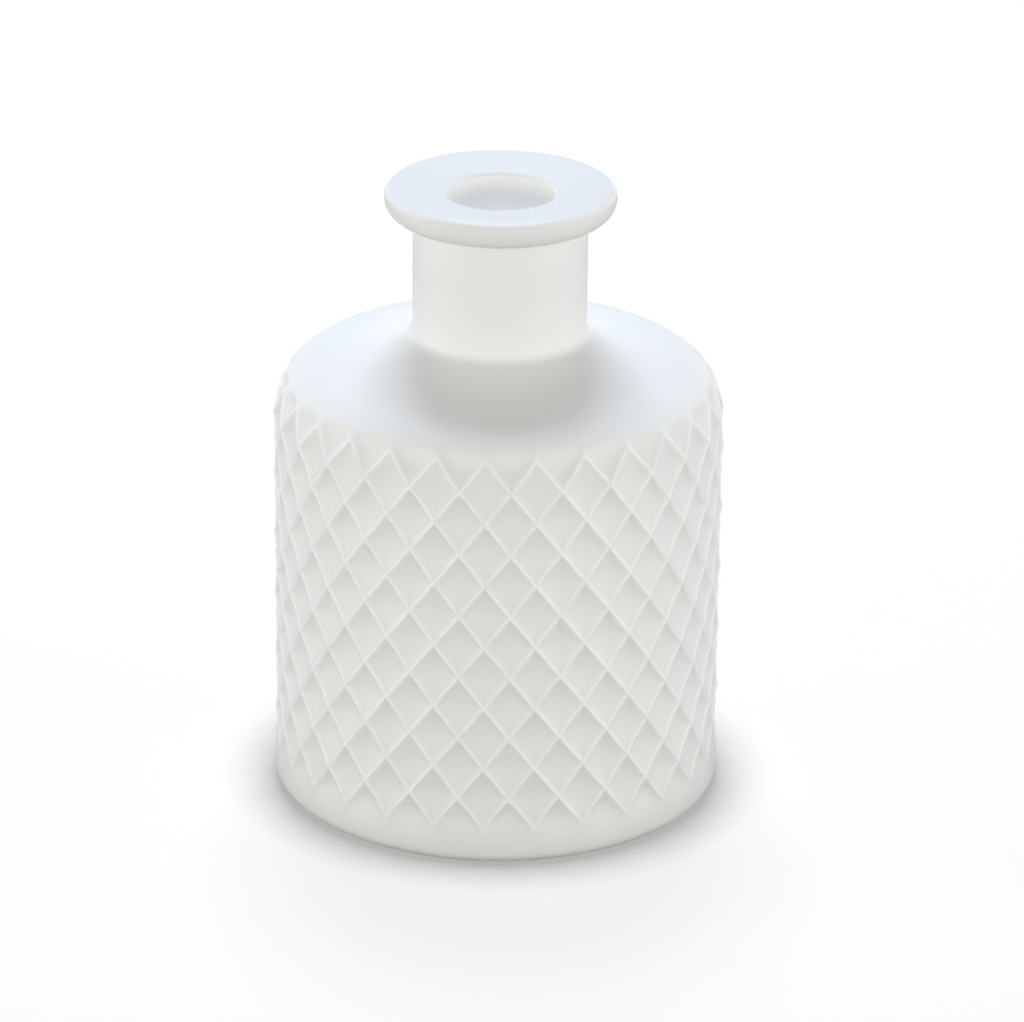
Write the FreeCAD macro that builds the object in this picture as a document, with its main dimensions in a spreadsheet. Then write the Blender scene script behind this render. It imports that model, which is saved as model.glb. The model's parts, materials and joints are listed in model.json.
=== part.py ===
"""Frosted glass diffuser bottle: one piece of moulded glass, in millimetres.

Origin: centre of the base, on the plane that the bottle stands on. +Z points out of the mouth.
The blank is turned (outline, cavity, dished lip). Its side keeps only what lies inside a faceted
drum, which leaves a lattice of raised ridges around recessed diamonds.
"""
import FreeCAD, Part
import math
import os

import Sketcher
from FreeCAD import Vector

# Driving dimensions. Each one becomes a cell of the sheet "sizes".
SIZES = {
    "total_height": 101.0,
    "body_dia": 72.0,
    "heel_round": 2.4,
    "shoulder_top": 76.9,
    "shoulder_slope": 17.5,
    "shoulder_round": 8.5,
    "neck_dia": 27.6,
    "neck_foot_round": 1.8,
    "lip_dia": 36.6,
    "lip_thick": 4.5,
    "lip_top_round": 1.2,
    "lip_under_round": 2.8,
    "crown_dia": 33.0,
    "lip_dish": 0.8,
    "bore_dia": 17.2,
    "bore_round": 0.7,
    "wall": 3.6,
    "floor_height": 6.2,
    "cavity_heel_round": 5.0,
    "cavity_shoulder_round": 5.5,
    "cavity_neck_round": 4.0,
    "push_up": 2.2,
    "push_up_dia": 58.0,
    "cells_round": 28,
    "cell_rows": 6,
    "cell_pitch": 10.4,
    "lattice_top": 68.6,
    "cell_depth": 1.4,
    "crest_trim": 0.12,
    "fade_depth": 0.25,
    "fade_height": 2.6,
}

# The drum stands this far outside the bottle above and below the lattice, and runs this far past its ends.
DRUM_CLEARANCE = 6.0
DRUM_OVERRUN = 10.0
# Bands of the drum without facets, at each of its ends.
PLAIN_BANDS = 2

# Two lengths count as equal within this, in millimetres.
SAME_LENGTH = 1e-4
# A turned feature that changes less than this, in cubic millimetres, has failed.
LEAST_CHANGE = 1.0


def add_sizes(doc):
    """The sheet that drives every size of the bottle."""
    sheet = doc.addObject("Spreadsheet::Sheet", "sizes")
    for row, (alias, value) in enumerate(SIZES.items(), start=1):
        sheet.set(f"A{row}", alias)
        sheet.set(f"B{row}", str(value))
        sheet.setAlias(f"B{row}", alias)
    doc.recompute()
    return sheet


def outline(body, name, corners):
    """A closed outline in the XZ plane. Each corner is (radius, height), as two expressions."""
    sketch = body.newObject("Sketcher::SketchObject", name)
    plane = [item for item in body.Origin.OriginFeatures if item.Role == "XZ_Plane"][0]
    sketch.AttachmentSupport = [(plane, "")]
    sketch.MapMode = "FlatFace"
    places = []
    for radius, height in corners:
        across = float(sketch.evalExpression(radius))
        up = float(sketch.evalExpression(height))
        places.append(Vector(across, up, 0))
    count = len(places)
    for index, place in enumerate(places):
        sketch.addGeometry(Part.LineSegment(place, places[(index + 1) % count]), False)
    for index, (radius, height) in enumerate(corners):
        following = (index + 1) % count
        sketch.addConstraint(Sketcher.Constraint("Coincident", index, 2, following, 1))
        for kind, value, expression in (
            ("DistanceX", places[index].x, radius),
            ("DistanceY", places[index].y, height),
        ):
            number = sketch.addConstraint(Sketcher.Constraint(kind, -1, 1, index, 1, value))
            sketch.setExpression(f"Constraints[{number}]", expression)
    sketch.Visibility = False
    body.Document.recompute()
    return sketch


def turn(body, kind, name, sketch):
    """One full turn of a sketch about the bottle's axis: a Revolution adds, a Groove cuts."""
    before = body.Tip.Shape.Volume if body.Tip else 0.0
    feature = body.newObject(kind, name)
    feature.Profile = sketch
    feature.ReferenceAxis = (sketch, ["V_Axis"])
    feature.Angle = 360
    body.Document.recompute()
    if abs(feature.Shape.Volume - before) < LEAST_CHANGE:
        raise ValueError(f"{name} changed nothing")
    return feature


def rims(shape, radius, height):
    """The names of the circular edges with that radius and height."""
    names = []
    for number, edge in enumerate(shape.Edges, start=1):
        curve = edge.Curve
        if not isinstance(curve, Part.Circle):
            continue
        if abs(curve.Radius - radius) < SAME_LENGTH and abs(curve.Center.z - height) < SAME_LENGTH:
            names.append(f"Edge{number}")
    if not names:
        raise ValueError(f"no rim of radius {radius} at height {height}")
    return names


def round_rims(body, name, places, size):
    """A fillet on the rims at the given (radius, height) places, as big as one cell says."""
    base = body.Tip
    edges = []
    for radius, height in places:
        edges += rims(base.Shape, radius, height)
    feature = body.newObject("PartDesign::Fillet", name)
    feature.Base = (base, edges)
    feature.setExpression("Radius", f"sizes.{size}")
    body.Document.recompute()
    return feature


def shoulder_drop(sheet):
    """How far the straight shoulder falls per millimetre of radius."""
    return math.tan(math.radians(sheet.shoulder_slope))


def make_blank(doc, sheet):
    """The turned bottle, hollow, without its lattice."""
    body = doc.addObject("PartDesign::Body", "blank")
    neck = sheet.neck_dia / 2
    side = sheet.body_dia / 2
    lip = sheet.lip_dia / 2
    fall = "tan(sizes.shoulder_slope * 1 deg)"
    shoulder_edge = f"sizes.shoulder_top - (sizes.body_dia - sizes.neck_dia) / 2 * {fall}"
    lip_under = "sizes.total_height - sizes.lip_thick"
    outside = outline(body, "outside", [
        ("0", "sizes.push_up"),
        ("sizes.push_up_dia / 2", "0"),
        ("sizes.body_dia / 2", "0"),
        ("sizes.body_dia / 2", shoulder_edge),
        ("sizes.neck_dia / 2", "sizes.shoulder_top"),
        ("sizes.neck_dia / 2", lip_under),
        ("sizes.lip_dia / 2", lip_under),
        ("sizes.lip_dia / 2", "sizes.total_height"),
        ("0", "sizes.total_height"),
    ])
    turn(body, "PartDesign::Revolution", "outer_shape", outside)
    shoulder_z = sheet.shoulder_top - (side - neck) * shoulder_drop(sheet)
    under = sheet.total_height - sheet.lip_thick
    round_rims(body, "heel", [(side, 0)], "heel_round")
    round_rims(body, "shoulder_bend", [(side, shoulder_z)], "shoulder_round")
    round_rims(body, "neck_foot", [(neck, sheet.shoulder_top)], "neck_foot_round")
    round_rims(body, "lip_under_edge", [(lip, under)], "lip_under_round")
    round_rims(body, "lip_top_edge", [(lip, sheet.total_height)], "lip_top_round")
    return body


def hollow_blank(body, sheet):
    """The cavity, the bore through the neck and the dished top of the lip."""
    fall = "tan(sizes.shoulder_slope * 1 deg)"
    upright_wall = "sizes.wall / cos(sizes.shoulder_slope * 1 deg)"
    roof = f"sizes.shoulder_top - {upright_wall} + sizes.neck_dia / 2 * {fall}"
    bore = sheet.bore_dia / 2
    inner = sheet.body_dia / 2 - sheet.wall
    cavity = outline(body, "cavity_outline", [
        ("0", "sizes.floor_height"),
        ("sizes.body_dia / 2 - sizes.wall", "sizes.floor_height"),
        ("sizes.body_dia / 2 - sizes.wall", f"{roof} - (sizes.body_dia / 2 - sizes.wall) * {fall}"),
        ("sizes.bore_dia / 2", f"{roof} - sizes.bore_dia / 2 * {fall}"),
        ("sizes.bore_dia / 2", "sizes.total_height"),
        ("0", "sizes.total_height"),
    ])
    turn(body, "PartDesign::Groove", "cavity", cavity)
    dish = outline(body, "dish_outline", [
        ("sizes.bore_dia / 2", "sizes.total_height - sizes.lip_dish"),
        ("sizes.crown_dia / 2", "sizes.total_height"),
        ("sizes.bore_dia / 2", "sizes.total_height + sizes.lip_dish"),
    ])
    turn(body, "PartDesign::Groove", "lip_dish", dish)
    drop = shoulder_drop(sheet)
    roof_z = sheet.shoulder_top - sheet.wall / math.cos(math.radians(sheet.shoulder_slope))
    roof_z += sheet.neck_dia / 2 * drop
    round_rims(body, "cavity_heel", [(inner, sheet.floor_height)], "cavity_heel_round")
    round_rims(body, "cavity_shoulder", [(inner, roof_z - inner * drop)], "cavity_shoulder_round")
    round_rims(body, "cavity_neck", [(bore, roof_z - bore * drop)], "cavity_neck_round")
    round_rims(body, "mouth_edge", [(bore, sheet.total_height - sheet.lip_dish)], "bore_round")


def side_radius(sheet, height):
    """Radius of the turned blank at a height on its side or on its rounded shoulder."""
    side = sheet.body_dia / 2
    corner = sheet.shoulder_top - (side - sheet.neck_dia / 2) * shoulder_drop(sheet)
    bend = sheet.shoulder_round
    turned = math.radians(90 - sheet.shoulder_slope)
    start = corner - bend * math.tan(turned / 2)
    if height <= start:
        return side
    return side - bend + math.sqrt(bend ** 2 - (height - start) ** 2)


def drum_rings(sheet):
    """The drum's rings from the bottom up, each (height, two radii that take turns around the ring).

    Each row of diamonds has its corners on two rings and its middle on the ring between, where
    every second point is a middle.
    """
    crest = sheet.crest_trim
    half = sheet.cell_pitch / 2
    count = 2 * sheet.cell_rows + 1
    bottom = sheet.lattice_top - (count - 1) * half
    side = sheet.body_dia / 2
    clear = side + DRUM_CLEARANCE
    foot = bottom - sheet.fade_height
    rings = [
        (-DRUM_OVERRUN, (clear, clear)),
        (foot, (clear, clear)),
        (foot, (side + crest, side + crest)),
    ]
    for row in range(count):
        height = bottom + row * half
        corner = side_radius(sheet, height) + crest
        middle = corner - crest - sheet.cell_depth
        if row == 0:
            middle = side - sheet.fade_depth
        if row == count - 1:
            middle = corner
        radii = (corner, middle) if row % 2 == 0 else (middle, corner)
        rings.append((height, radii))
    rings.append((sheet.lattice_top, (clear, clear)))
    rings.append((sheet.total_height + DRUM_OVERRUN, (clear, clear)))
    return rings


def ring_points(sheet, height, radii):
    """One ring of the drum: a point on each column, with the two radii taken in turn."""
    count = 2 * int(sheet.cells_round)
    points = []
    for column in range(count):
        angle = 2 * math.pi * column / count
        radius = radii[column % 2]
        points.append(Vector(radius * math.sin(angle), -radius * math.cos(angle), height))
    return points


def polygon(points):
    """A flat face through the points."""
    return Part.Face(Part.makePolygon(points + [points[0]]))


def make_drum(doc, sheet):
    """The faceted drum that shapes the side: flat triangles that meet along the ridges."""
    rings = [ring_points(sheet, height, radii) for height, radii in drum_rings(sheet)]
    count = len(rings[0])
    faces = [polygon(rings[0][::-1]), polygon(rings[-1])]
    bands = len(rings) - 1
    faceted = range(PLAIN_BANDS, bands - PLAIN_BANDS)
    for level in range(bands):
        lower = rings[level]
        upper = rings[level + 1]
        for column in range(count):
            following = (column + 1) % count
            corners = [lower[column], lower[following], upper[following], upper[column]]
            if level not in faceted:
                faces.append(polygon(corners))
                continue
            ridge_leans_right = (column + level - PLAIN_BANDS) % 2 == 1
            if ridge_leans_right:
                faces.append(polygon([corners[0], corners[1], corners[2]]))
                faces.append(polygon([corners[0], corners[2], corners[3]]))
            else:
                faces.append(polygon([corners[0], corners[1], corners[3]]))
                faces.append(polygon([corners[1], corners[2], corners[3]]))
    drum = doc.addObject("Part::Feature", "drum")
    drum.Shape = Part.makeSolid(Part.makeShell(faces))
    return drum


def make_bottle(doc, sheet):
    """The blank, with its side kept only inside the drum."""
    blank = make_blank(doc, sheet)
    hollow_blank(blank, sheet)
    drum = make_drum(doc, sheet)
    bottle = doc.addObject("Part::Common", "bottle")
    bottle.Base = blank
    bottle.Tool = drum
    bottle.Label = "bottle"
    doc.recompute()
    return bottle


def check(doc, part):
    """Stops when a feature failed or the part isn't one valid solid."""
    for item in doc.Objects:
        if "Invalid" in item.State or "Error" in item.State:
            raise ValueError(f"{item.Name} is in state {item.State}")
    shape = part.Shape
    if shape.isNull() or not shape.isValid() or len(shape.Solids) != 1:
        raise ValueError(f"{part.Label} isn't one valid solid")


def main():
    doc = FreeCAD.newDocument("diffuser_bottle")
    sheet = add_sizes(doc)
    bottle = make_bottle(doc, sheet)
    check(doc, bottle)
    os.makedirs("parts", exist_ok=True)
    bottle.Shape.exportStep(f"parts/{bottle.Label}.step")
    box = bottle.Shape.optimalBoundingBox(False)
    print(bottle.Label, round(box.XLength, 3), round(box.YLength, 3), round(box.ZLength, 3))
    print("volume of glass, millilitres:", round(bottle.Shape.Volume / 1000, 1))


main()
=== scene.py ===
"""Looks of the frosted glass diffuser bottle, in metres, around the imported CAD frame."""
import json
import math

import bpy
import numpy as np
from mathutils import Matrix, Vector

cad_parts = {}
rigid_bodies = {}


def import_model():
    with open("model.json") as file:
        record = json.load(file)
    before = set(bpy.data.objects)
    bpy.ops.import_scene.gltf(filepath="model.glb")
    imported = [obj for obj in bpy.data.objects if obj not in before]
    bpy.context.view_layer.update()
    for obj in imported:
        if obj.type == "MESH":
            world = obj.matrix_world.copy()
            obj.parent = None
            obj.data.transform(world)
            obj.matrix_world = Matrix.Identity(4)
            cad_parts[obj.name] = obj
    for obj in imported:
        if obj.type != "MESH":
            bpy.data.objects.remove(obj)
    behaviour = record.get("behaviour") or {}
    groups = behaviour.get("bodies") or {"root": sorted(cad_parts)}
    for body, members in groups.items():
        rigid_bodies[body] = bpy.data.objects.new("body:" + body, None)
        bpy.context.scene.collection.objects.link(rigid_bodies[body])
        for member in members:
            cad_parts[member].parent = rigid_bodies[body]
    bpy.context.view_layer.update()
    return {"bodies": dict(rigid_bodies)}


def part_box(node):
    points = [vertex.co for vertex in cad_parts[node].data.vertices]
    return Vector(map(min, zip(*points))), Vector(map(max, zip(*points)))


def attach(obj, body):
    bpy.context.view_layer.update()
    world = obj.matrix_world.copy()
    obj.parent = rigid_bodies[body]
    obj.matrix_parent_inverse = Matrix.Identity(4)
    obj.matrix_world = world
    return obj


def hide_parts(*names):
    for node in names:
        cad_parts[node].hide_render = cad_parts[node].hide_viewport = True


MM = 0.001
NODE = "bottle"
PIECE = "bottle_glass"
GLASS = "frosted_glass"

# Lattice of recessed diamonds. Heights and depths are in millimetres.
CELLS_ROUND = 28
CELL_ROWS = 6
CELL_PITCH = 10.4
LATTICE_TOP = 68.6
CELL_DEPTH = 1.4
LATTICE_FOOT = LATTICE_TOP - CELL_ROWS * CELL_PITCH
# Places on the lattice are counted in half columns around and in half rows above its top.
HALF_COLUMNS = 2 * CELLS_ROUND
HALF_ROWS = 2 * CELL_ROWS
HALF_PITCH = CELL_PITCH / 2
# Where the grid lines of one diamond lie between two ridges: close together near the ridges.
CELL_GRID = (0.0, 0.03, 0.08, 0.16, 0.30, 0.5, 0.70, 0.84, 0.92, 0.97, 1.0)
# Grid points are one point when their places agree to this many digits.
PLACE_DIGITS = 5

# Turned outline, in millimetres.
SHOULDER_TOP = 76.9
SHOULDER_SLOPE = math.radians(17.5)
SHOULDER_FALL = math.tan(SHOULDER_SLOPE)
SHOULDER_ROUND = 8.5
NECK_RADIUS = 13.8
NECK_FOOT_ROUND = 1.8
LIP_RADIUS = 18.3
LIP_THICK = 4.5
LIP_TOP_ROUND = 1.2
LIP_UNDER_ROUND = 2.8
LIP_NECK_ROUND = 0.9
CROWN_RADIUS = 16.5
CROWN_ROUND = 2.0
LIP_DISH = 0.8
BORE_RADIUS = 8.6
BORE_ROUND = 0.7
WALL = 3.6
FLOOR_HEIGHT = 6.2
CAVITY_HEEL_ROUND = 5.0
CAVITY_SHOULDER_ROUND = 5.5
CAVITY_NECK_ROUND = 4.0
HEEL_ROUND = 2.4
PUSH_UP = 2.2
PUSH_UP_RADIUS = 29.0
PUSH_UP_ROUND = 1.0

# Hollows are this many times steeper at the ridges than a pyramid of the same depth.
WALL_STEEPNESS = 2.0
# How far ridges dip between their crossings and how far their crests stand proud, in millimetres,
# and how wide the crests are, as a share of the way from a ridge to the middle of a hollow.
RIDGE_DIP = 0.3
RIDGE_HEIGHT = 0.1
RIDGE_WIDTH = 0.09
# The lattice fades out over this many half rows on each side of its top and of its foot.
FADE_ABOVE = 0.22
FADE_BELOW = 0.45
# Mould seams, in millimetres.
SEAM_HEIGHT = 0.05
SEAM_WIDTH = 0.25

# The longest distances between rings of the mesh, and the shortest one above the lattice, in
# millimetres, and the steps in each arc of an outline.
RING_STEP = 1.8
CAVITY_RING_STEP = 3 * RING_STEP
RING_GAP = 0.35
ARC_STEPS = 7
TOP_ARC_STEPS = 10

# Values on the mesh's points: how near a ridge's crest they are, which sets the painted highlight along
# the crests, and 1 for those of the cavity, which sets where its painted glow goes.
CREST_HIGHLIGHT = "crest"
INSIDE = "inside"

# The glass. Its glow stands for light carried within it, and for light in the cavity behind it.
GLASS_COLOUR = (0.86, 0.86, 0.85)
# Painted highlight: the crests are coloured whiter than the glass, standing for light caught on them.
CREST_HIGHLIGHT_COLOUR = (0.99, 0.99, 0.985)
GLASS_GLOW = (0.03, 0.027, 0.022)
INSIDE_GLOW = (0.22, 0.23, 0.25)
GLASS_ROUGHNESS = 0.55
GLASS_IOR = 1.5
GLASS_CLEAR = 0.1
# The etched grain: its scale for places in metres, octaves, strength, and height in metres.
GRAIN_SCALE = 2600
GRAIN_DETAIL = 3
GRAIN_STRENGTH = 0.12
GRAIN_HEIGHT = 0.0001

# Camera, with distances in metres, angles in radians, and lens and sensor in millimetres.
CAMERA_AZIMUTH = math.radians(2.95)
CAMERA_ELEVATION = math.radians(23.0)
CAMERA_DISTANCE = 0.8584
CAMERA_ROLL = math.radians(0.58)
LOOK_ASIDE = 0.00227
LOOK_HEIGHT = 0.0457
LENS = 187.6
SENSOR_WIDTH = 36.0
CLIP_NEAR = 0.05
CLIP_FAR = 20.0

# Floor, in metres. Its glow is full where nothing stands within reach, and least where no more
# than the open share of its surroundings is free: a painted contact shadow around the bottle's foot.
FLOOR_SIZE = 6.0
FLOOR_COLOUR = (0.26, 0.255, 0.245)
FLOOR_ROUGHNESS = 1.0
FLOOR_GLOW = 0.76
SHADOW_REACH = 0.010
SHADOW_OPEN_SHARE = 0.5
PAINTED_SHADOW_GLOW = 0.34

# Light of the room, from its horizon down and overhead. It fades between two cosines of the angle
# from a pole that leans back from upright.
ROOM_LOW = (3.0, 2.95, 2.84)
ROOM_HIGH = (0.0, 0.0, 0.0)
ROOM_FADE = (0.0, 0.5)
ROOM_TILT = math.radians(8)

# Softboxes: angle to the right of straight behind, angle above the horizon, side, power and colour.
LAMP_DISTANCE = 0.9
LAMPS = {
    "key": (math.radians(-6), math.radians(60), 0.34, 6.5, (0.76, 0.85, 1.0)),
    "rim_left": (math.radians(-85), math.radians(20), 0.4, 1.5, (0.86, 0.92, 1.0)),
    "rim_right": (math.radians(85), math.radians(20), 0.4, 1.5, (0.86, 0.92, 1.0)),
}


def smooth(low, high, value):
    """0 below low, 1 above high, and an even curve between."""
    t = np.clip((value - low) / (high - low), 0.0, 1.0)
    return t * t * (3 - 2 * t)


def rounded(corners, steps=ARC_STEPS):
    """A path through the corners, each (radius, height, rounding), with round stretches as arcs."""
    path = [corners[0][:2]]
    for before, here, after in zip(corners, corners[1:], corners[2:]):
        corner = Vector(here[:2])
        rounding = here[2]
        if rounding == 0:
            path.append(tuple(corner))
            continue
        back = (Vector(before[:2]) - corner).normalized()
        ahead = (Vector(after[:2]) - corner).normalized()
        half = back.angle(ahead) / 2
        reach = rounding / math.tan(half)
        middle = corner + (back + ahead).normalized() * (rounding / math.sin(half))
        start = corner + back * reach - middle
        end = corner + ahead * reach - middle
        for step in range(steps + 1):
            path.append(tuple(middle + start.slerp(end, step / steps) * rounding))
    path.append(corners[-1][:2])
    return path


def spread(path, longest):
    """The same path with its long stretches cut into pieces no longer than that."""
    cut = [path[0]]
    for (r0, z0), (r1, z1) in zip(path, path[1:]):
        pieces = max(1, math.ceil(math.hypot(r1 - r0, z1 - z0) / longest))
        for piece in range(1, pieces + 1):
            share = piece / pieces
            cut.append((r0 + (r1 - r0) * share, z0 + (z1 - z0) * share))
    return cut


def shoulder_corner(side):
    """Height at which the upright side would meet the straight shoulder, without its rounding."""
    return SHOULDER_TOP - (side - NECK_RADIUS) * SHOULDER_FALL


def side_radius(height, side):
    """Radius of the turned blank at a height on its side or its rounded shoulder, in millimetres."""
    start = shoulder_corner(side) - SHOULDER_ROUND * math.tan((math.pi / 2 - SHOULDER_SLOPE) / 2)
    rise = np.clip(height - start, 0.0, SHOULDER_ROUND)
    return side - SHOULDER_ROUND + np.sqrt(SHOULDER_ROUND ** 2 - rise ** 2)


def base_outline(side):
    """From the foot of the lattice around the heel to the middle of the push-up."""
    return rounded([
        (side, LATTICE_FOOT, 0),
        (side, 0, HEEL_ROUND),
        (PUSH_UP_RADIUS, 0, PUSH_UP_ROUND),
        (0, PUSH_UP, 0),
    ])


def top_outline(side, top):
    """From the foot of the lattice up over the shoulder, neck and lip, and down into the bore."""
    lip_under = top - LIP_THICK
    return rounded([
        (side, LATTICE_FOOT, 0),
        (side, shoulder_corner(side), SHOULDER_ROUND),
        (NECK_RADIUS, SHOULDER_TOP, NECK_FOOT_ROUND),
        (NECK_RADIUS, lip_under, LIP_NECK_ROUND),
        (LIP_RADIUS, lip_under, LIP_UNDER_ROUND),
        (LIP_RADIUS, top, LIP_TOP_ROUND),
        (CROWN_RADIUS, top, CROWN_ROUND),
        (BORE_RADIUS, top - LIP_DISH, BORE_ROUND),
        (BORE_RADIUS, lip_under, 0),
    ], steps=TOP_ARC_STEPS)


def cavity_outline(side, top):
    """From the bore down inside the shoulder and the wall to the middle of the floor."""
    inner = side - WALL
    roof = SHOULDER_TOP - WALL / math.cos(SHOULDER_SLOPE) + NECK_RADIUS * SHOULDER_FALL
    return rounded([
        (BORE_RADIUS, top - LIP_THICK, 0),
        (BORE_RADIUS, roof - BORE_RADIUS * SHOULDER_FALL, CAVITY_NECK_ROUND),
        (inner, roof - inner * SHOULDER_FALL, CAVITY_SHOULDER_ROUND),
        (inner, FLOOR_HEIGHT, CAVITY_HEEL_ROUND),
        (0, FLOOR_HEIGHT, 0),
    ])


def place_in_cell(across, up):
    """Where points lie in their diamonds: how far sideways, upwards or downwards, and inwards.

    Each is a share: 1 at the side corners, at the end corners, and at the middle. Ridges cross
    where across and up are both even or both odd, and a diamond spans one unit of u and of v.
    """
    u = np.mod((across + up) / 2, 1.0)
    v = np.mod((across - up) / 2, 1.0)
    sideways = np.abs(u + v - 1)
    upward = np.abs(u - v)
    return sideways, upward, 1 - sideways - upward


def lattice_share(up):
    """1 over the height of the lattice, fading to 0 past its two ends."""
    past_foot = smooth(-HALF_ROWS - FADE_BELOW, -HALF_ROWS + FADE_BELOW, up)
    return past_foot * (1 - smooth(-FADE_ABOVE, FADE_ABOVE, up))


def crest(across, up):
    """How near the points are to a ridge's crest: 1 on it, and 0 inside a diamond."""
    inward = place_in_cell(across, up)[2]
    return np.exp(-(inward / RIDGE_WIDTH) ** 2) * lattice_share(up)


def relief(across, up):
    """How far the lattice lies under the turned blank, in millimetres."""
    sideways, upward, inward = place_in_cell(across, up)
    hollow = 1 - (1 - inward) ** WALL_STEEPNESS
    # Four times the product is 1 halfway along a ridge, and 0 at its crossings.
    dip = RIDGE_DIP * 4 * sideways * upward
    under = CELL_DEPTH * hollow + dip + RIDGE_HEIGHT
    return under * lattice_share(up) - RIDGE_HEIGHT * crest(across, up)


def angle_of(across):
    """Angle from the bottle's front of a place counted in half columns."""
    return across * math.pi / CELLS_ROUND


def seam(angle, radius):
    """Height of the two mould seams, in millimetres, at opposite sides of the bottle."""
    offset = np.abs(np.mod(angle, math.pi) - math.pi / 2) * radius
    return SEAM_HEIGHT * np.exp(-(offset / SEAM_WIDTH) ** 2)


class Skin:
    """Vertices and faces of the bottle's one closed skin, gathered a band at a time."""

    def __init__(self, side):
        self.side = side
        self.points = []
        self.crest_highlights = []
        self.insides = []
        self.faces = []

    def add_points(self, across, radius, height, crest_highlights=0.0, inside=0.0):
        """Adds points, in millimetres, with their two values, and returns their numbers."""
        angle = angle_of(across)
        first = len(self.points)
        places = np.stack([radius * np.sin(angle), -radius * np.cos(angle), height], axis=-1)
        self.points.extend((places * MM).tolist())
        self.crest_highlights.extend(np.broadcast_to(crest_highlights, across.shape).tolist())
        self.insides.extend(np.broadcast_to(inside, across.shape).tolist())
        return list(range(first, first + len(places)))

    def add_outside(self, across, up, radius, height):
        """Adds points of the outside, with the lattice and the mould seams in their radii."""
        radii = radius - relief(across, up) + seam(angle_of(across), radius)
        # Their crest values set the painted highlight along the ridges.
        return self.add_points(across, radii, height, crest(across, up))

    def outer_ring(self, across, radius, height):
        """One ring of the outside. The lattice's fading ends reach some of them."""
        up = np.full_like(across, (height - LATTICE_TOP) / HALF_PITCH)
        return self.add_outside(across, up, radius, np.full_like(across, height))

    def cavity_ring(self, across, radius, height):
        """One ring of the cavity."""
        radii = np.full_like(across, radius)
        return self.add_points(across, radii, np.full_like(across, height), inside=1.0)

    def join(self, ring, following):
        """One band of faces between two rings."""
        count = len(ring)
        for i in range(count):
            j = (i + 1) % count
            self.faces.append((ring[i], ring[j], following[j], following[i]))

    def close(self, ring, height):
        """A fan from a ring to a point on the axis."""
        on_axis = np.zeros(1)
        inside = self.insides[ring[0]]
        pole = self.add_points(on_axis, on_axis, np.full(1, height), inside=inside)[0]
        for i in range(len(ring)):
            self.faces.append((ring[i], ring[(i + 1) % len(ring)], pole))


def diamond_places(column, row):
    """Places of one diamond's grid points, by their steps along the two families of ridges.

    Points past the foot or the top of the lattice are left out.
    """
    places = {}
    for i, rising in enumerate(CELL_GRID):
        for k, falling in enumerate(CELL_GRID):
            up = round(row + rising - falling, PLACE_DIGITS)
            if -HALF_ROWS <= up <= 0:
                across = round((column - 1 + rising + falling) % HALF_COLUMNS, PLACE_DIGITS)
                places[i, k] = (across % HALF_COLUMNS, up)
    return places


def diamond_faces(numbers):
    """Faces of one diamond's grid, with triangles along the foot and the top of the lattice."""
    faces = []
    last = len(CELL_GRID) - 1
    for i in range(last):
        for k in range(last):
            corners = [(i, k), (i, k + 1), (i + 1, k + 1), (i + 1, k)]
            face = [numbers[corner] for corner in corners if corner in numbers]
            if len(face) >= 3:
                faces.append(tuple(face))
    return faces


def add_lattice(skin):
    """Adds the diamonds, on a grid that runs along the ridges.

    Returns the bottom ring, the top ring, and the places around the bottle of their points.
    """
    first = len(skin.points)
    numbers = {}
    for row in range(-HALF_ROWS, 1):
        for column in range((row + 1) % 2, HALF_COLUMNS, 2):
            diamond = {}
            for step, place in diamond_places(column, row).items():
                diamond[step] = numbers.setdefault(place, first + len(numbers))
            skin.faces.extend(diamond_faces(diamond))
    across, up = np.array(list(numbers)).T
    height = LATTICE_TOP + up * HALF_PITCH
    skin.add_outside(across, up, side_radius(height, skin.side), height)
    order = np.argsort(across)
    bottom = order[up[order] == -HALF_ROWS]
    top = order[up[order] == 0]
    return (first + bottom).tolist(), (first + top).tolist(), across[top]


def add_base(skin, ring, across):
    """Adds the plain band under the lattice, the heel and the push-up."""
    for radius, height in spread(base_outline(skin.side), RING_STEP)[1:-1]:
        following = skin.outer_ring(across, radius, height)
        skin.join(following, ring)
        ring = following
    skin.close(ring[::-1], PUSH_UP)


def add_top(skin, ring, across, top):
    """Adds the shoulder, neck, lip and bore, and returns the last ring of the bore."""
    for radius, height in spread(top_outline(skin.side, top), RING_STEP):
        if height < LATTICE_TOP + RING_GAP:
            continue
        following = skin.outer_ring(across, radius, height)
        skin.join(ring, following)
        ring = following
    return ring


def add_cavity(skin, ring, across, top):
    """Adds the cavity from the bore down, and closes it with its floor."""
    for radius, height in spread(cavity_outline(skin.side, top), CAVITY_RING_STEP)[1:-1]:
        following = skin.cavity_ring(across, radius, height)
        skin.join(ring, following)
        ring = following
    skin.close(ring, FLOOR_HEIGHT)


def make_piece(skin):
    """The object made of a skin, with its two values on the points."""
    mesh = bpy.data.meshes.new(PIECE)
    mesh.from_pydata(skin.points, [], skin.faces)
    mesh.attributes.new(CREST_HIGHLIGHT, "FLOAT", "POINT").data.foreach_set("value", skin.crest_highlights)
    mesh.attributes.new(INSIDE, "FLOAT", "POINT").data.foreach_set("value", skin.insides)
    mesh.shade_smooth()
    mesh.validate()
    piece = bpy.data.objects.new(PIECE, mesh)
    bpy.context.scene.collection.objects.link(piece)
    return piece


def build_bottle(low, high):
    """The bottle as one closed mesh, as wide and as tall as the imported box."""
    side = (high.x - low.x) / 2 / MM
    top = (high.z - low.z) / MM
    skin = Skin(side)
    bottom_ring, top_ring, across = add_lattice(skin)
    add_base(skin, bottom_ring, across)
    bore_end = add_top(skin, top_ring, across, top)
    add_cavity(skin, bore_end, across, top)
    return make_piece(skin)


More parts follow.
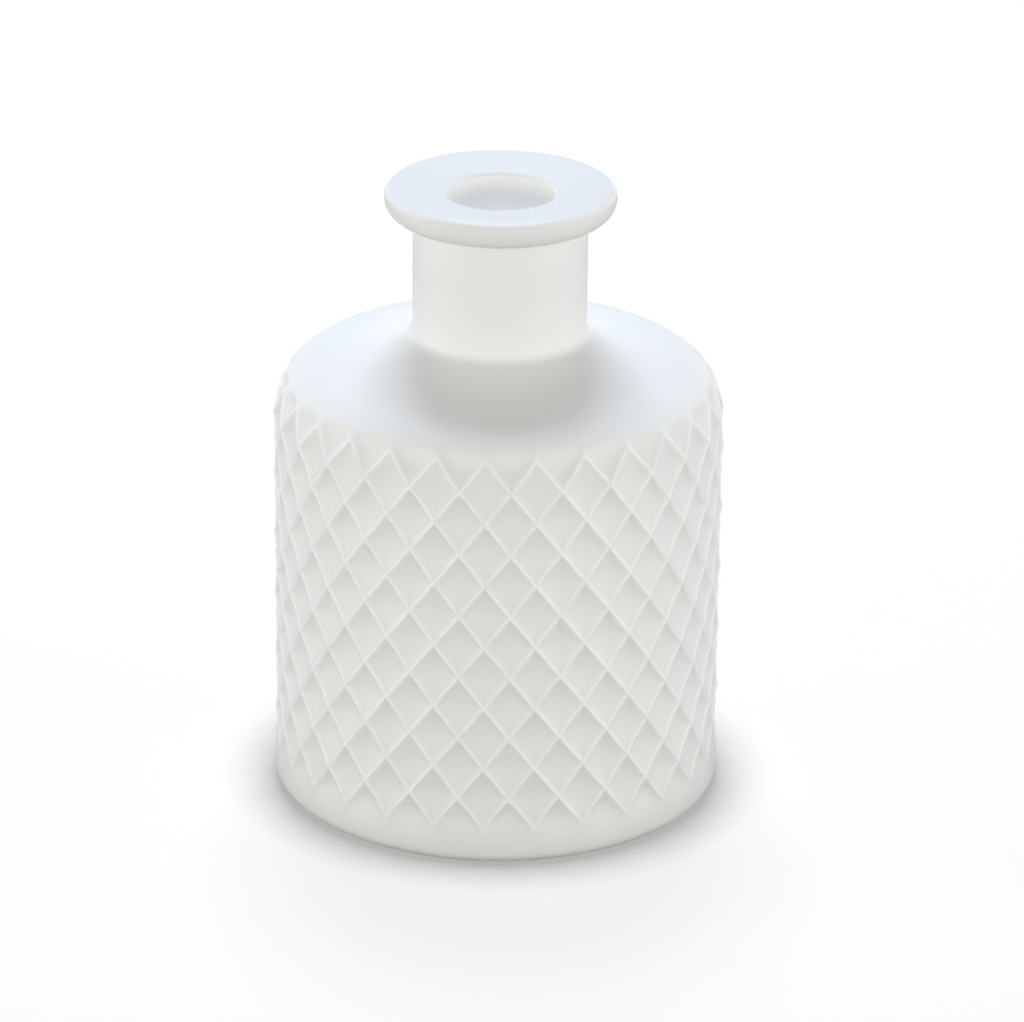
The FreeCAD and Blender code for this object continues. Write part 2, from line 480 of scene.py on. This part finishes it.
def mix_by_value(material, name, low, high):
    """A colour output that runs from low to high with one of the mesh's values."""
    nodes = material.node_tree.nodes
    value = nodes.new("ShaderNodeAttribute")
    value.attribute_name = name
    mix = nodes.new("ShaderNodeMix")
    mix.data_type = "RGBA"
    mix.inputs["A"].default_value = (*low, 1)
    mix.inputs["B"].default_value = (*high, 1)
    material.node_tree.links.new(value.outputs["Fac"], mix.inputs["Factor"])
    return mix.outputs["Result"]


def etched_grain(material):
    """A normal output with the fine grain of etched glass."""
    nodes = material.node_tree.nodes
    links = material.node_tree.links
    place = nodes.new("ShaderNodeTexCoord")
    grain = nodes.new("ShaderNodeTexNoise")
    grain.inputs["Scale"].default_value = GRAIN_SCALE
    grain.inputs["Detail"].default_value = GRAIN_DETAIL
    links.new(place.outputs["Object"], grain.inputs["Vector"])
    bump = nodes.new("ShaderNodeBump")
    bump.inputs["Strength"].default_value = GRAIN_STRENGTH
    bump.inputs["Distance"].default_value = GRAIN_HEIGHT
    links.new(grain.outputs["Fac"], bump.inputs["Height"])
    return bump.outputs["Normal"]


def frosted_glass():
    """Etched glass: white, with a painted highlight along the crests and a painted glow, finely
    grained, and letting a little light through.
    """
    material = bpy.data.materials.new(GLASS)
    material.use_nodes = True
    links = material.node_tree.links
    shader = material.node_tree.nodes["Principled BSDF"]
    shader.inputs["Roughness"].default_value = GLASS_ROUGHNESS
    shader.inputs["IOR"].default_value = GLASS_IOR
    shader.inputs["Transmission Weight"].default_value = GLASS_CLEAR
    shader.inputs["Emission Strength"].default_value = 1.0
    # Painted highlight: points near a crest get the whiter crest colour.
    highlighted_colour = mix_by_value(material, CREST_HIGHLIGHT, GLASS_COLOUR, CREST_HIGHLIGHT_COLOUR)
    links.new(highlighted_colour, shader.inputs["Base Color"])
    # Painted glow: the glass and the cavity give off light of their own, standing for light carried
    # within the glass and lighting the cavity.
    painted_glow = mix_by_value(material, INSIDE, GLASS_GLOW, INSIDE_GLOW)
    links.new(painted_glow, shader.inputs["Emission Color"])
    links.new(etched_grain(material), shader.inputs["Normal"])
    return material


def floor_with_painted_shadow():
    """White whose glow only the camera sees, with a painted contact shadow close under the bottle."""
    white = bpy.data.materials.new("floor_with_painted_shadow")
    white.use_nodes = True
    nodes = white.node_tree.nodes
    links = white.node_tree.links
    shader = nodes["Principled BSDF"]
    shader.inputs["Base Color"].default_value = (*FLOOR_COLOUR, 1)
    shader.inputs["Roughness"].default_value = FLOOR_ROUGHNESS
    shader.inputs["Specular IOR Level"].default_value = 0.0
    shader.inputs["Emission Color"].default_value = (1, 1, 1, 1)
    path = nodes.new("ShaderNodeLightPath")
    # Painted contact shadow: the glow is dimmed where the bottle's foot closes in on the floor.
    shadow_occlusion = nodes.new("ShaderNodeAmbientOcclusion")
    shadow_occlusion.inputs["Distance"].default_value = SHADOW_REACH
    shadowed_glow = nodes.new("ShaderNodeMapRange")
    shadowed_glow.inputs["From Min"].default_value = SHADOW_OPEN_SHARE
    shadowed_glow.inputs["To Min"].default_value = PAINTED_SHADOW_GLOW
    shadowed_glow.inputs["To Max"].default_value = FLOOR_GLOW
    links.new(shadow_occlusion.outputs["AO"], shadowed_glow.inputs["Value"])
    glow = nodes.new("ShaderNodeMath")
    glow.operation = "MULTIPLY"
    links.new(shadowed_glow.outputs["Result"], glow.inputs[1])
    links.new(path.outputs["Is Camera Ray"], glow.inputs[0])
    links.new(glow.outputs[0], shader.inputs["Emission Strength"])
    return white


def add_floor():
    """A plain pale floor."""
    bpy.ops.mesh.primitive_plane_add(size=FLOOR_SIZE)
    floor = bpy.context.object
    floor.name = "floor"
    floor.data.materials.append(floor_with_painted_shadow())


def add_room():
    """A room that is bright at its horizon and below, and black overhead."""
    world = bpy.data.worlds.new("soft_room")
    bpy.context.scene.world = world
    world.use_nodes = True
    nodes = world.node_tree.nodes
    links = world.node_tree.links
    room = nodes["Background"]
    place = nodes.new("ShaderNodeTexCoord")
    toward = nodes.new("ShaderNodeVectorMath")
    toward.operation = "DOT_PRODUCT"
    toward.inputs[1].default_value = (0, math.sin(ROOM_TILT), math.cos(ROOM_TILT))
    fade = nodes.new("ShaderNodeMapRange")
    fade.interpolation_type = "SMOOTHSTEP"
    fade.inputs["From Min"].default_value = ROOM_FADE[0]
    fade.inputs["From Max"].default_value = ROOM_FADE[1]
    mix = nodes.new("ShaderNodeMix")
    mix.data_type = "RGBA"
    mix.inputs["A"].default_value = (*ROOM_LOW, 1)
    mix.inputs["B"].default_value = (*ROOM_HIGH, 1)
    links.new(place.outputs["Generated"], toward.inputs[0])
    links.new(toward.outputs["Value"], fade.inputs["Value"])
    links.new(fade.outputs["Result"], mix.inputs["Factor"])
    links.new(mix.outputs["Result"], room.inputs["Color"])


def add_lamps():
    """A softbox above and behind, so the neck's shadow falls forwards, and one at each side."""
    for name, (aside, rise, size, power, colour) in LAMPS.items():
        data = bpy.data.lights.new(name, "AREA")
        data.shape = "SQUARE"
        data.size = size
        data.energy = power
        data.color = colour
        lamp = bpy.data.objects.new(name, data)
        away = Vector((math.sin(aside), math.cos(aside), 0)) * math.cos(rise)
        away.z = math.sin(rise)
        lamp.location = Vector((0, 0, LOOK_HEIGHT)) + away * LAMP_DISTANCE
        lamp.rotation_euler = away.to_track_quat("Z", "Y").to_euler()
        bpy.context.scene.collection.objects.link(lamp)


def add_camera():
    """The camera: above the bottle's front, far away, through a long lens."""
    data = bpy.data.cameras.new("camera")
    data.sensor_width = SENSOR_WIDTH
    data.lens = LENS
    data.clip_start = CLIP_NEAR
    data.clip_end = CLIP_FAR
    camera = bpy.data.objects.new("camera", data)
    across = Vector((math.cos(CAMERA_AZIMUTH), math.sin(CAMERA_AZIMUTH), 0))
    flat = Vector((math.sin(CAMERA_AZIMUTH), -math.cos(CAMERA_AZIMUTH), 0))
    back = flat * math.cos(CAMERA_ELEVATION) + Vector((0, 0, math.sin(CAMERA_ELEVATION)))
    target = Vector((0, 0, LOOK_HEIGHT)) + across * LOOK_ASIDE
    turn = (-back).to_track_quat("-Z", "Y").to_matrix().to_4x4()
    roll = Matrix.Rotation(CAMERA_ROLL, 4, "Z")
    camera.matrix_world = Matrix.Translation(target + back * CAMERA_DISTANCE) @ turn @ roll
    bpy.context.scene.collection.objects.link(camera)
    bpy.context.scene.camera = camera


def main():
    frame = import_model()
    # Without joints there is one body.
    (body,) = frame["bodies"]
    low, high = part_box(NODE)
    bottle = build_bottle(low, high)
    bottle.data.materials.append(frosted_glass())
    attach(bottle, body)
    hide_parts(NODE)
    add_floor()
    add_room()
    add_lamps()
    add_camera()
    bpy.context.scene.view_settings.view_transform = "Standard"


main()
